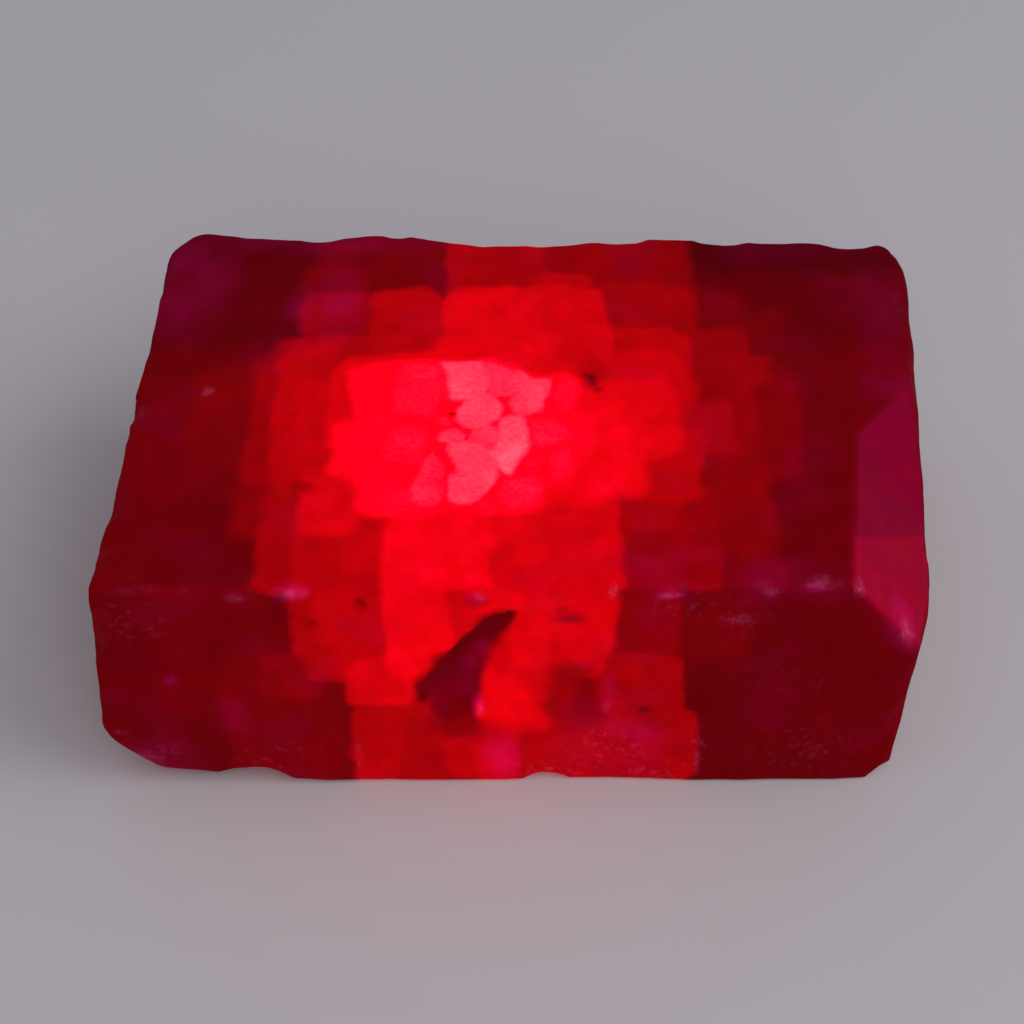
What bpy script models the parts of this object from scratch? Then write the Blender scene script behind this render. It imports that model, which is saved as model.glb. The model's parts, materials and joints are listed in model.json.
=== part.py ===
"""Raw ruby crystal: one rough block of ruby, 50 mm long, lying on its flat parting face.

The block is cut from a box by the crystal's parting and fracture planes, its edges are
worn round, its faces are given a gentle unevenness, and conchoidal chips, pits, ledges
and one deep gouge are bitten out of it with Boolean cutters.

Metres, +Z up. +X is along the block and -Y is its front. The origin is the centre of the
block's base, on the surface that it rests on.
"""

import math
import random

import bmesh
import bpy
from mathutils import Matrix, Vector

MM = 0.001

# Driving dimensions of the block.
LENGTH = 50.1 * MM
DEPTH = 33.2 * MM
HEIGHT = 16.9 * MM
EDGE_WEAR = 0.2 * MM  # depth that every edge is worn down by
BASE_EDGE_WEAR = 0.1 * MM  # the same, round the base
SHARP_ANGLE = math.radians(12)  # edges flatter than this aren't worn
UNEVENNESS = 0.14 * MM  # how far the faces rise and fall
FACE_STEP = 2.6 * MM  # spacing of the points that carry the unevenness
SHORTEST_EDGE = 0.06 * MM  # points closer than this are made one

HALF_LENGTH = LENGTH / 2
HALF_DEPTH = DEPTH / 2
FRONT_Y = -HALF_DEPTH + 0.34 * MM
BACK_Y = HALF_DEPTH + 0.04 * MM

# Each face of the block: a point on it, and the direction it faces.
FACES = {
    "top": ((0, 0, HEIGHT), (0, 0, 1)),
    "base": ((0, 0, 0), (0, 0, -1)),
    "front": ((0, FRONT_Y, HEIGHT / 2), (0.012, -1, 0.008)),
    "back": ((0, BACK_Y, HEIGHT / 2), (0.025, 1, 0.06)),
    "back_lower": ((0, BACK_Y, 10 * MM), (-0.04, 1, -0.075)),
    "left": ((-24.65 * MM, FRONT_Y, HEIGHT), (-0.997, 0.057, 0.045)),
    "right": ((HALF_LENGTH, 0, 11 * MM), (0.9985, 0, -0.055)),
    "right_upper": ((24.35 * MM, 2.2 * MM, HEIGHT), (0.977, -0.078, 0.2)),
    "right_front": ((25.15 * MM, -9.4 * MM, 12 * MM), (0.957, -0.281, -0.066)),
    "right_shoulder": ((23.9 * MM, 0, HEIGHT), (0.799, -0.059, 0.599)),
    "back_left": ((-23.0 * MM, 14.3 * MM, HEIGHT / 2), (-0.8, 0.6, 0.02)),
    "back_right": ((HALF_LENGTH, 13.6 * MM, HEIGHT / 2), (0.825, 0.565, 0)),
    "broken_corner": ((-HALF_LENGTH, FRONT_Y, 4.5 * MM), (-0.654, -0.438, -0.618)),
    "undercut": ((-19.6 * MM, FRONT_Y, 0.95 * MM), (-0.084, -0.516, -0.852)),
}

# Edges that chip, as the two faces that meet there and the two faces that end them.
CHIPPED_EDGES = (
    ("top", "front", "left", "right"),
    ("top", "left", "front", "back_left"),
    ("top", "back", "back_left", "back_right"),
    ("top", "right_shoulder", "front", "back_right"),
    ("front", "left", "top", "base"),
    ("front", "right_front", "top", "base"),
    ("right", "right_front", "top", "base"),
    ("back", "back_left", "top", "base"),
    ("back", "back_right", "top", "base"),
    ("left", "back_left", "top", "base"),
    ("base", "back_lower", "back_left", "back_right"),
    ("base", "left", "front", "back_left"),
    ("base", "right", "right_front", "back_right"),
)
CHIP_SEED = 14
CHIP_GAP = (0.2 * MM, 4.5 * MM)  # length of whole edge left between two chips
CHIP_RADIUS = (1.4 * MM, 4.2 * MM)
CHIP_BITE = (0.32 * MM, 0.62 * MM)  # how deep a chip reaches below the edge
CHIP_STRETCH = (0.9, 1.9)  # length along the edge against width across it
CHIP_TILT = math.radians(24)  # most that a chip turns away from the edge

# The planed-off shoulder at the front of the right side.
SHOULDER_NORMAL = (0.788, -0.093, 0.609)
SHOULDER_POINT = (20.8 * MM, -0.8 * MM, HEIGHT)
SHOULDER_BACK_END = -0.6 * MM  # it stops in a small step here, measured along Y

# Larger broken places: where each lies on the surface, the way it faces, the radius of
# its hollow and how deep it bites.
HOLLOWS = {
    "back_top_hollow": ((0.5, 16.3, 15.4), (0, 1, 0.35), 34.0, 0.7),
    "back_left_shell": ((-16.5, 16.3, 4.0), (-0.2, 1, -0.3), 24.0, 0.75),
    "back_right_shell": ((15.0, 16.5, 5.0), (0.15, 1, -0.2), 30.0, 0.7),
    "left_shell": ((-23.9, 7.5, 7.0), (-1, 0.15, 0), 26.0, 0.55),
    "left_low_shell": ((-24.6, -6.5, 3.0), (-1, 0, -0.35), 18.0, 0.8),
    "right_shell": ((25.0, 7.5, 5.0), (1, 0.1, -0.2), 24.0, 0.7),
    "left_rim_nick": ((-23.6, -0.9, 16.9), (-0.7, 0, 0.7), 1.6, 0.55),
    "right_rim_nick": ((24.0, -0.5, 16.4), (0.8, 0, 0.6), 1.3, 0.5),
    "shoulder_nick": ((24.9, -7.0, 11.0), (1, -0.2, 0.2), 1.5, 0.45),
    "shoulder_tip_chip": ((22.7, -16.4, 12.0), (0.7, -0.7, 0.3), 1.8, 0.75),
    "front_low_right_chip": ((22.3, -16.0, 0.5), (0.5, -0.6, -0.6), 3.0, 0.6),
    "front_low_gap": ((1.6, -16.4, 0.0), (0, -0.75, -0.66), 2.6, 0.7),
    "front_low_left_chip": ((-16.5, -16.2, 0.6), (0, -0.7, -0.7), 4.5, 0.6),
    "front_pit": ((3.2, -16.4, 8.0), (0.1, -1, 0), 2.3, 0.75),
    "front_dimple": ((2.7, -16.4, 13.6), (0, -1, 0), 1.4, 0.3),
}

# Pinholes in the top and front: where each lies, its facing and its radius.
PINHOLES = (
    ((4.6, 1.7, 16.9), (0, 0, 1), 0.42),
    ((4.9, 0.9, 16.9), (0, 0, 1), 0.30),
    ((-9.4, -16.4, 15.5), (0, -1, 0.2), 0.45),
    ((-12.2, -16.4, 13.9), (0, -1, 0), 0.34),
    ((7.4, -16.4, 6.2), (0, -1, 0), 0.42),
    ((13.9, 9.4, 16.9), (0, 0, 1), 0.36),
)

# The deep gouge that runs down and to the left across the middle of the front.
GOUGE_CENTRE = (-3.0 * MM, FRONT_Y, 10.7 * MM)
GOUGE_LEAN = math.radians(33)  # from upright, its top end leaning right
GOUGE_HALF_SIZES = (1.75 * MM, 1.5 * MM, 5.0 * MM)  # across, into and along the gouge
GOUGE_FOOT_CENTRE = (-4.0 * MM, FRONT_Y, 8.3 * MM)
GOUGE_FOOT_HALF_SIZES = (2.3 * MM, 1.2 * MM, 2.1 * MM)

# Parting ledges that step into the back and the right side: low corner, high corner and
# turn about X, Y and Z in degrees.
LEDGES = {
    "back_ledge": ((-8.0, 16.0, 1.0), (9.0, 20.0, 7.0), (-14, 7, 4)),
    "back_low_ledge": ((3.0, 15.5, -2.0), (14.0, 20.0, 3.4), (-10, -9, -3)),
    "right_ledge": ((24.6, 2.5, 8.0), (28.0, 12.0, 12.2), (6, 11, -5)),
}

# Long slow waves that make the faces uneven: wave direction per metre, and phase.
WAVES = (
    ((180, 130, 240), 0.4),
    ((-260, 210, 190), 1.9),
    ((390, -270, 350), 3.1),
    ((-310, -420, 440), 5.0),
    ((520, 340, -460), 2.2),
)

RUBY_COLOUR = (0.30, 0.004, 0.022, 1)


def clear_scene():
    for obj in list(bpy.data.objects):
        bpy.data.objects.remove(obj)


def face_plane(name):
    """A point on the named face and its unit normal."""
    point, normal = FACES[name]
    return Vector(point), Vector(normal).normalized()


def corner(*names):
    """The point where three faces meet."""
    planes = [face_plane(name) for name in names]
    normals = Matrix([normal for _, normal in planes])
    offsets = Vector([normal.dot(point) for point, normal in planes])
    return normals.inverted() @ offsets


def trim(bm, point, normal):
    """Cuts off what lies outside a plane, and closes the cut with one flat face."""
    cut = bmesh.ops.bisect_plane(
        bm,
        geom=bm.verts[:] + bm.edges[:] + bm.faces[:],
        dist=1e-8,
        plane_co=point,
        plane_no=normal,
        clear_outer=True,
    )
    rim = [e for e in cut["geom_cut"] if isinstance(e, bmesh.types.BMEdge)]
    if rim:
        bmesh.ops.contextual_create(bm, geom=rim)


def cut_block(bm):
    """A box trimmed to the block by each of its faces in turn."""
    bmesh.ops.create_cube(bm, size=max(LENGTH, DEPTH, HEIGHT) * 2)
    for name in FACES:
        trim(bm, *face_plane(name))
    bmesh.ops.recalc_face_normals(bm, faces=bm.faces[:])


def wear_edges(bm):
    """Trims each edge with a narrow facet that leans halfway between its two faces."""
    facets = []
    for edge in bm.edges:
        if edge.calc_face_angle() > SHARP_ANGLE:
            one, other = edge.link_faces
            normal = (one.normal + other.normal).normalized()
            highest = max(vert.co.z for vert in edge.verts)
            wear = EDGE_WEAR if highest > EDGE_WEAR else BASE_EDGE_WEAR
            facets.append((edge.verts[0].co - normal * wear, normal))
    for point, normal in facets:
        trim(bm, point, normal)
    bmesh.ops.recalc_face_normals(bm, faces=bm.faces[:])


def slice_faces(bm):
    """Cuts the faces into small panels along X, Y and Z, so that they can be uneven."""
    axes = (
        (Vector((1, 0, 0)), HALF_LENGTH, 0.0),
        (Vector((0, 1, 0)), HALF_DEPTH, 0.0),
        (Vector((0, 0, 1)), HEIGHT / 2, HEIGHT / 2),
    )
    for axis, half, middle in axes:
        count = round(2 * half / FACE_STEP)
        for i in range(1, count):
            place = middle - half + 2 * half * i / count
            bmesh.ops.bisect_plane(
                bm,
                geom=bm.verts[:] + bm.edges[:] + bm.faces[:],
                dist=1e-7,
                plane_co=axis * place,
                plane_no=axis,
            )


def above_base(bm):
    return [vert for vert in bm.verts if vert.co.z > 2 * EDGE_WEAR]


def unevenness(point):
    """Height of the face above its plane at a point: the mean of a few slow waves."""
    total = sum(math.sin(Vector(wave).dot(point) + phase) for wave, phase in WAVES)
    return UNEVENNESS * total / len(WAVES) * 2


def make_uneven(bm):
    """Moves the points along their normals, except on the base, which stays flat."""
    bm.normal_update()
    moves = [(vert, vert.normal * unevenness(vert.co)) for vert in above_base(bm)]
    for vert, move in moves:
        vert.co += move


def join_base_panels(bm):
    base = [f for f in bm.faces if f.normal.z < -0.999 and f.calc_center_median().z < 1e-6]
    bmesh.ops.dissolve_faces(bm, faces=base, use_verts=False)


def add_object(name, bm, material=None):
    mesh = bpy.data.meshes.new(name)
    bm.to_mesh(mesh)
    bm.free()
    obj = bpy.data.objects.new(name, mesh)
    bpy.context.scene.collection.objects.link(obj)
    if material:
        mesh.materials.append(material)
    return obj


def add_cutter(name, bm, cutters):
    """A hidden wire shape that is taken away from the block."""
    mesh = bpy.data.meshes.new(name)
    bm.to_mesh(mesh)
    bm.free()
    obj = bpy.data.objects.new(name, mesh)
    obj.hide_render = True
    obj.display_type = "WIRE"
    cutters.objects.link(obj)
    return obj


def add_ball_cutter(name, surface_point, facing, radius, bite, cutters, detail=4):
    """A sphere that reaches bite below a point of the surface."""
    bm = bmesh.new()
    bmesh.ops.create_icosphere(bm, subdivisions=detail, radius=radius)
    obj = add_cutter(name, bm, cutters)
    obj.location = Vector(surface_point) + Vector(facing).normalized() * (radius - bite)
    obj.rotation_euler = (radius / MM, bite / MM, 1)
    return obj


def add_chip(point, outward, along, dice, cutters):
    """A ball stretched along an edge and sunk in it; gives its reach along the edge."""
    radius = dice.uniform(*CHIP_RADIUS)
    bite = dice.uniform(*CHIP_BITE)
    stretch = dice.uniform(*CHIP_STRETCH)
    tilt = dice.uniform(-CHIP_TILT, CHIP_TILT)
    spin = dice.uniform(0, math.tau)
    reach = stretch * math.sqrt(2 * radius * bite - bite**2)
    bm = bmesh.new()
    bmesh.ops.create_icosphere(bm, subdivisions=3, radius=radius)
    bmesh.ops.rotate(bm, matrix=Matrix.Rotation(spin, 3, "X"), verts=bm.verts)
    bmesh.ops.scale(bm, vec=(stretch, 1, 1), verts=bm.verts)
    bmesh.ops.rotate(bm, matrix=Matrix.Rotation(tilt, 3, "Z"), verts=bm.verts)
    obj = add_cutter(f"chip_{len(cutters.objects):03d}", bm, cutters)
    side = outward.cross(along)
    turn = Matrix((along, side, outward)).transposed().to_4x4()
    centre = point + along * reach + outward * (radius - bite)
    obj.matrix_world = Matrix.Translation(centre) @ turn
    return reach


def add_ellipsoid_cutter(name, centre, half_sizes, lean, cutters):
    """An ellipsoid leaning about Y, half sunk in the front face."""
    bm = bmesh.new()
    bmesh.ops.create_icosphere(bm, subdivisions=3, radius=1)
    bmesh.ops.scale(bm, vec=half_sizes, verts=bm.verts)
    obj = add_cutter(name, bm, cutters)
    obj.location = centre
    obj.rotation_euler = (0, lean, 0)
    return obj


def add_edge_chips(cutters):
    """Shallow conchoidal chips at uneven spacing along every chipped edge."""
    dice = random.Random(CHIP_SEED)
    for first, second, start_face, end_face in CHIPPED_EDGES:
        start = corner(first, second, start_face)
        end = corner(first, second, end_face)
        along = (end - start).normalized()
        outward = (face_plane(first)[1] + face_plane(second)[1]).normalized()
        place = dice.uniform(*CHIP_GAP)
        while place < (end - start).length:
            reach = add_chip(start + along * place, outward, along, dice, cutters)
            place += 2 * reach + dice.uniform(*CHIP_GAP)


def add_hollows(cutters):
    for name, (place, facing, radius, bite) in HOLLOWS.items():
        add_ball_cutter(
            name, Vector(place) * MM, facing, radius * MM, bite * MM, cutters
        )
    for i, (place, facing, radius) in enumerate(PINHOLES):
        size = radius * MM
        add_ball_cutter(
            f"pinhole_{i}", Vector(place) * MM, facing, size, size, cutters, detail=2
        )


def add_shoulder_cutter(cutters):
    """A block lying on the shoulder's plane, whose back end leaves the small step."""
    side = LENGTH / 2
    bm = bmesh.new()
    bmesh.ops.create_cube(bm, size=side)
    bmesh.ops.translate(bm, vec=(0, -side / 2, side / 2), verts=bm.verts)
    obj = add_cutter("shoulder", bm, cutters)
    normal = Vector(SHOULDER_NORMAL).normalized()
    along = (Vector((0, 1, 0)) - normal * normal.y).normalized()
    across = along.cross(normal)
    turn = Matrix((across, along, normal)).transposed().to_4x4()
    end = Vector(SHOULDER_POINT)
    end.y = SHOULDER_BACK_END
    obj.matrix_world = Matrix.Translation(end) @ turn
    return obj


def add_ledges(cutters):
    for name, (low, high, turn) in LEDGES.items():
        low, high = Vector(low) * MM, Vector(high) * MM
        bm = bmesh.new()
        bmesh.ops.create_cube(bm, size=1)
        bmesh.ops.scale(bm, vec=high - low, verts=bm.verts)
        obj = add_cutter(name, bm, cutters)
        obj.location = (low + high) / 2
        obj.rotation_euler = [math.radians(angle) for angle in turn]


def ruby_material():
    material = bpy.data.materials.new("ruby")
    material.use_nodes = True
    shader = material.node_tree.nodes["Principled BSDF"]
    shader.inputs["Base Color"].default_value = RUBY_COLOUR
    shader.inputs["Roughness"].default_value = 0.35
    shader.inputs["Metallic"].default_value = 0.0
    shader.inputs["IOR"].default_value = 1.76
    return material


def make_crystal():
    bm = bmesh.new()
    cut_block(bm)
    wear_edges(bm)
    slice_faces(bm)
    bmesh.ops.remove_doubles(bm, verts=above_base(bm), dist=SHORTEST_EDGE)
    make_uneven(bm)
    join_base_panels(bm)
    crystal = add_object("ruby_crystal", bm, ruby_material())

    cutters = bpy.data.collections.new("cutters")
    bpy.context.scene.collection.children.link(cutters)
    add_edge_chips(cutters)
    add_hollows(cutters)
    add_shoulder_cutter(cutters)
    add_ellipsoid_cutter(
        "gouge", GOUGE_CENTRE, GOUGE_HALF_SIZES, GOUGE_LEAN, cutters
    )
    add_ellipsoid_cutter(
        "gouge_foot", GOUGE_FOOT_CENTRE, GOUGE_FOOT_HALF_SIZES, 0, cutters
    )
    add_ledges(cutters)

    bites = crystal.modifiers.new("bites", "BOOLEAN")
    bites.operation = "DIFFERENCE"
    bites.solver = "EXACT"
    bites.operand_type = "COLLECTION"
    bites.collection = cutters
    return crystal


clear_scene()
make_crystal()
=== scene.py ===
"""The look of a raw ruby crystal: one rough block of partly clear crimson stone, lit from
below so that its inner blocks and grains glow in steps from a hot centre outwards. The glow
is painted light: the stone's own emission stands in for the lamp below it."""

import itertools
import json
import math
import random

import bpy
import numpy as np
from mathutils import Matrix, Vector

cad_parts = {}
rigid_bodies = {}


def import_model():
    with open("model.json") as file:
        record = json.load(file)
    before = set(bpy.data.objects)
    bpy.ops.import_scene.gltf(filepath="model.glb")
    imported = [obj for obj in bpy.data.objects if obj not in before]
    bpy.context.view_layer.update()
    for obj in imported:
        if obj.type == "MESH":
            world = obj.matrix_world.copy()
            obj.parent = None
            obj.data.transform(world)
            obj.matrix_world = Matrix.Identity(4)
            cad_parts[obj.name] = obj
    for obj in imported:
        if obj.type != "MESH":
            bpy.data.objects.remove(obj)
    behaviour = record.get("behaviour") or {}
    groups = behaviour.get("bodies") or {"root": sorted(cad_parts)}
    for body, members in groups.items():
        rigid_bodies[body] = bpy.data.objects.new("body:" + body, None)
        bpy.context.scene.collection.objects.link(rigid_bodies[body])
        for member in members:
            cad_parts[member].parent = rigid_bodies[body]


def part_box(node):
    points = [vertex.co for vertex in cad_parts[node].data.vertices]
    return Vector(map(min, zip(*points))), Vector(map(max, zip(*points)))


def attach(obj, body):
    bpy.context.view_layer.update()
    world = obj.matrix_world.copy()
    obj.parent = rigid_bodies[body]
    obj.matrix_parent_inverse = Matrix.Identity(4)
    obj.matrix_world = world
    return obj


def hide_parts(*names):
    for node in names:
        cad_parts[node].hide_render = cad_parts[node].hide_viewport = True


bl_info = {
    "name": "Raw Ruby Crystal",
    "version": (1, 0, 0),
    "blender": (4, 5, 0),
    "location": "3D View > Sidebar > Raw Ruby",
    "description": "Builds a rough, glowing block of ruby and the plain stage it lies on",
    "category": "Add Mesh",
}

for leftover in list(bpy.data.objects):
    bpy.data.objects.remove(leftover)
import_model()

MM = 0.001
LOW, HIGH = (np.array(corner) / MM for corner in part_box("ruby_crystal"))
HEART = np.array((0.0, 0.0, 8.0))  # the point that every ray of the surface leaves from

# The block in millimetres, as its part has it.
LENGTH, DEPTH, HEIGHT = 50.1, 33.2, 16.9
HALF_LENGTH, HALF_DEPTH = LENGTH / 2, DEPTH / 2
FRONT_Y = -HALF_DEPTH + 0.34
BACK_Y = HALF_DEPTH + 0.04

# Each face: a point on it and the way it faces.
FACES = {
    "top": ((0, 0, HEIGHT), (0, 0, 1)),
    "base": ((0, 0, 0), (0, 0, -1)),
    "front": ((0, FRONT_Y, HEIGHT / 2), (0.012, -1, 0.008)),
    "back": ((0, BACK_Y, HEIGHT / 2), (0.025, 1, 0.06)),
    "back_lower": ((0, BACK_Y, 10), (-0.04, 1, -0.075)),
    "left": ((-24.65, FRONT_Y, HEIGHT), (-0.997, 0.057, 0.045)),
    "right": ((HALF_LENGTH, 0, 11), (0.9985, 0, -0.055)),
    "right_upper": ((24.35, 2.2, HEIGHT), (0.977, -0.078, 0.2)),
    "right_front": ((25.15, -9.4, 12), (0.957, -0.281, -0.066)),
    "right_shoulder": ((23.9, 0, HEIGHT), (0.799, -0.059, 0.599)),
    "back_left": ((-23.0, 14.3, HEIGHT / 2), (-0.8, 0.6, 0.02)),
    "back_right": ((HALF_LENGTH, 13.6, HEIGHT / 2), (0.825, 0.565, 0)),
    "broken_corner": ((-HALF_LENGTH, FRONT_Y, 4.5), (-0.654, -0.438, -0.618)),
    "undercut": ((-19.6, FRONT_Y, 0.95), (-0.084, -0.516, -0.852)),
}

# Edges that chip: the two faces that meet there, and the two that end them.
CHIPPED_EDGES = (
    ("top", "front", "left", "right"),
    ("top", "left", "front", "back_left"),
    ("top", "back", "back_left", "back_right"),
    ("top", "right_shoulder", "front", "back_right"),
    ("front", "left", "top", "base"),
    ("front", "right_front", "top", "base"),
    ("right", "right_front", "top", "base"),
    ("back", "back_left", "top", "base"),
    ("back", "back_right", "top", "base"),
    ("left", "back_left", "top", "base"),
    ("base", "back_lower", "back_left", "back_right"),
    ("base", "left", "front", "back_left"),
    ("base", "right", "right_front", "back_right"),
)
CHIP_GAP = (0.2, 4.5)
CHIP_RADIUS = (1.4, 4.2)
CHIP_BITE = (0.32, 0.62)
CHIP_STRETCH = (0.9, 1.9)
CHIP_TILT = math.radians(24)

# The broad bevel of the right front corner, and the break that ends it at the back.
SHOULDER = (
    ((20.8, 0, HEIGHT), (0.788, -0.093, 0.609)),
    ((22.4, -0.6, HEIGHT), (0.62, -0.48, 0.62)),
)

# Broken hollows: place, facing, radius and bite.
HOLLOWS = {
    "back_top_hollow": ((0.5, 16.3, 15.4), (0, 1, 0.35), 34.0, 0.7),
    "back_left_shell": ((-16.5, 16.3, 4.0), (-0.2, 1, -0.3), 24.0, 0.75),
    "back_right_shell": ((15.0, 16.5, 5.0), (0.15, 1, -0.2), 30.0, 0.7),
    "left_shell": ((-23.9, 7.5, 7.0), (-1, 0.15, 0), 26.0, 0.55),
    "left_low_shell": ((-24.6, -6.5, 3.0), (-1, 0, -0.35), 18.0, 0.8),
    "right_shell": ((25.0, 7.5, 5.0), (1, 0.1, -0.2), 24.0, 0.7),
    "left_rim_nick": ((-23.6, -0.9, 16.9), (-0.7, 0, 0.7), 1.6, 0.55),
    "right_rim_nick": ((24.0, -0.5, 16.4), (0.8, 0, 0.6), 1.3, 0.5),
    "shoulder_nick": ((24.9, -7.0, 11.0), (1, -0.2, 0.2), 1.5, 0.45),
    "shoulder_tip_chip": ((22.7, -16.4, 12.0), (0.7, -0.7, 0.3), 1.8, 0.75),
    "front_low_right_chip": ((22.3, -16.0, 0.5), (0.5, -0.6, -0.6), 3.0, 0.6),
    "front_low_gap": ((1.6, -16.4, 0.0), (0, -0.75, -0.66), 2.6, 0.7),
    "front_low_left_chip": ((-16.5, -16.2, 0.6), (0, -0.7, -0.7), 4.5, 0.6),
    "front_pit": ((3.2, -16.4, 8.0), (0.1, -1, 0), 2.3, 0.75),
    "front_dimple": ((2.7, -16.4, 13.6), (0, -1, 0), 1.4, 0.3),
}

# Pinholes: place, facing and radius.
PINHOLES = (
    ((4.6, 1.7, 16.9), (0, 0, 1), 0.42),
    ((4.9, 0.9, 16.9), (0, 0, 1), 0.30),
    ((-9.4, -16.4, 15.5), (0, -1, 0.2), 0.45),
    ((-12.2, -16.4, 13.9), (0, -1, 0), 0.34),
    ((7.4, -16.4, 6.2), (0, -1, 0), 0.42),
    ((13.9, 9.4, 16.9), (0, 0, 1), 0.36),
)

# The gouge in the front: centre, half sizes across, into and along, and its lean.
GOUGES = (
    ((-2.6, FRONT_Y, 11.0), (1.8, 0.9, 4.6), math.radians(31)),
    ((-3.9, FRONT_Y, 8.7), (2.0, 0.8, 2.5), 0.0),
)

# Parting ledges: middle and facing of the floor, long direction, half length and width.
LEDGES = {
    "back_ledge": ((0.5, 16.05, 4.0), (-0.07, 0.97, 0.2), (1, 0.05, 0.1), 8.5, 3.0),
    "back_low_ledge": ((8.5, 15.9, 0.8), (-0.1, 0.98, -0.12), (1, 0.1, -0.05), 5.5, 2.8),
    "right_ledge": ((24.75, 7.2, 10.1), (0.99, -0.08, 0.1), (0, 1, 0.1), 4.7, 2.1),
}
LEDGE_SLOPE = 0.9  # how far its sides lean back from upright

# Slow waves of the faces: wave direction per millimetre, and phase.
WAVES = (
    ((0.18, 0.13, 0.24), 0.4),
    ((-0.26, 0.21, 0.19), 1.9),
    ((0.39, -0.27, 0.35), 3.1),
    ((-0.31, -0.42, 0.44), 5.0),
    ((0.52, 0.34, -0.46), 2.2),
)
WAVE_HEIGHT = 0.056

# Inner blocks that show through the top, from dark to bright, each laid over those before
# it: glow and width of border, then the X, Y and half sizes of each block. The glow is
# painted light, an emission in place of the lamp below.
TOP_BASE = 0.035
TOP_BLOCKS = {
    (0.055, 3.0): ((0, -9, 40, 22),),
    (0.085, 2.5): ((0, -9, 40, 14),),
    (0.015, 2.4): ((17.5, 16, 9, 3.4),),
    (0.11, 1.5): ((-19.5, -3.5, 4.5, 5.5), (-8.4, 12.6, 4.8, 3.8), (14.6, 6.4, 2.2, 2.6)),
    (0.13, 1.2): ((12.6, -13, 2.4, 5), (-11.6, 10.4, 2.2, 3), (12, 7.6, 2.6, 3)),
    (0.15, 1.2): ((-17.5, -1.6, 2.6, 4.6), (14.6, -2, 2.4, 5)),
    (0.19, 1.0): ((-15.8, -10.4, 1.3, 1.9), (12.2, -8.5, 2.6, 5), (8, 12.2, 3.2, 4)),
    (0.22, 0.8): ((3.2, 13.4, 3, 3),),
    (0.23, 0.7): ((-11.4, 7.6, 2.5, 2.8), (12, 0.8, 2.3, 6), (8.4, -13.2, 3.2, 5)),
    (0.26, 0.7): ((-15, -2.2, 1.6, 6), (7.6, 8.4, 3.4, 2.8), (14, 2.6, 1.4, 1.5)),
    (0.31, 0.6): (
        (-12.9, -12.4, 2.5, 5.6), (-12.2, 4.6, 3, 1.2), (-1.6, 13.0, 3.2, 3.6),
        (11.6, -2.6, 1.5, 2.3), (7, -9.6, 2.4, 2.2),
    ),
    (0.39, 0.5): (
        (-13.1, -2, 2.1, 6.8), (-7.2, 7.2, 2.35, 3.7), (8.2, -5.6, 2.5, 3.8),
        (7.6, 2.6, 3.3, 4), (2.4, 10.6, 1.9, 1.5), (-10.6, -13.2, 2.8, 4),
    ),
    (0.48, 0.7): ((-12.3, -2.8, 1.8, 4.4), (7.2, 0.8, 3, 3.8), (-8.6, -12.6, 2, 2.4)),
    (0.56, 0.6): ((1.6, -12.8, 4.2, 5.2), (1.6, 6.6, 4, 4.2)),
    (0.66, 0.5): (
        (6.6, -1.8, 3.1, 3.8), (-11.3, -9.6, 1.8, 2.6), (-2, 6.8, 3, 4.1),
        (-1.2, -11.6, 2.4, 3), (-4, -2, 7.8, 6.6),
    ),
    (0.74, 0.9): ((3.9, -4.6, 3.5, 4.6), (-1.6, 4.2, 3.7, 2.2)),
    (0.86, 1.0): ((3.6, -4, 2.6, 4.8),),
    (0.88, 0.7): ((-4.9, -13.2, 3.2, 4.8),),
    (0.92, 1.2): ((-4.2, -13.6, 2, 3),),
    (0.95, 0.4): (
        (-7.6, 0.6, 2.9, 3.2), (-8.5, -4.6, 3.1, 2.6), (-7.4, -8.2, 2.6, 2.6),
        (-4, -2.4, 4.4, 6.2), (0.8, -2.4, 2.8, 5), (-2.4, -7.8, 3.8, 2.4),
    ),
    (1.04, 0.6): ((-6.6, 0.8, 1.4, 2.3), (-7.1, -4.8, 1.1, 0.9), (3.8, -3.6, 0.7, 1.8)),
}

# Grains of the top, the warm ones and the hot ones of the core: painted glow and width of
# border, then the corners of each grain as X and Y, clockwise.
TOP_GRAINS = {
    (1.06, 0.3): (
        ((-7.2, 3.4), (-5.2, 3.4), (-4.9, 0.4), (-5.4, -0.8), (-7.0, -0.6)),
        ((-7.4, -2.2), (-5.9, -2.4), (-5.7, -4.4), (-6.6, -5.0), (-7.8, -3.8)),
        ((0.4, -4.7), (1.2, -4.8), (1.1, -6.3), (0.2, -6.4)),
        ((1.4, -5.0), (3.0, -4.6), (3.2, -6.6), (1.8, -7.2)),
    ),
    (1.1, 0.3): (
        ((-1.6, -7.2), (0.8, -6.9), (1.2, -8.6), (0.7, -9.6), (-0.8, -9.8), (-1.7, -8.9)),
        ((-2.8, -9.1), (-1.7, -9.0), (-1.3, -9.9), (-2.2, -10.3)),
        ((0.6, -2.0), (2.4, -1.9), (2.9, -3.4), (1.6, -4.2), (0.5, -3.9)),
        ((2.3, 2.2), (3.4, 2.0), (3.6, -0.6), (2.6, -1.4), (2.1, -0.4)),
    ),
    (1.17, 0.3): (
        (
            (-6.3, -5.9), (-5.2, -4.7), (-4.5, -6.0), (-4.6, -9.4), (-5.4, -9.8), (-6.4, -9.2),
            (-6.8, -7.4),
        ),
        ((-5.3, -1.4), (-4.6, -1.3), (-4.5, -2.4), (-5.2, -2.6), (-5.6, -2.0)),
    ),
}
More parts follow.
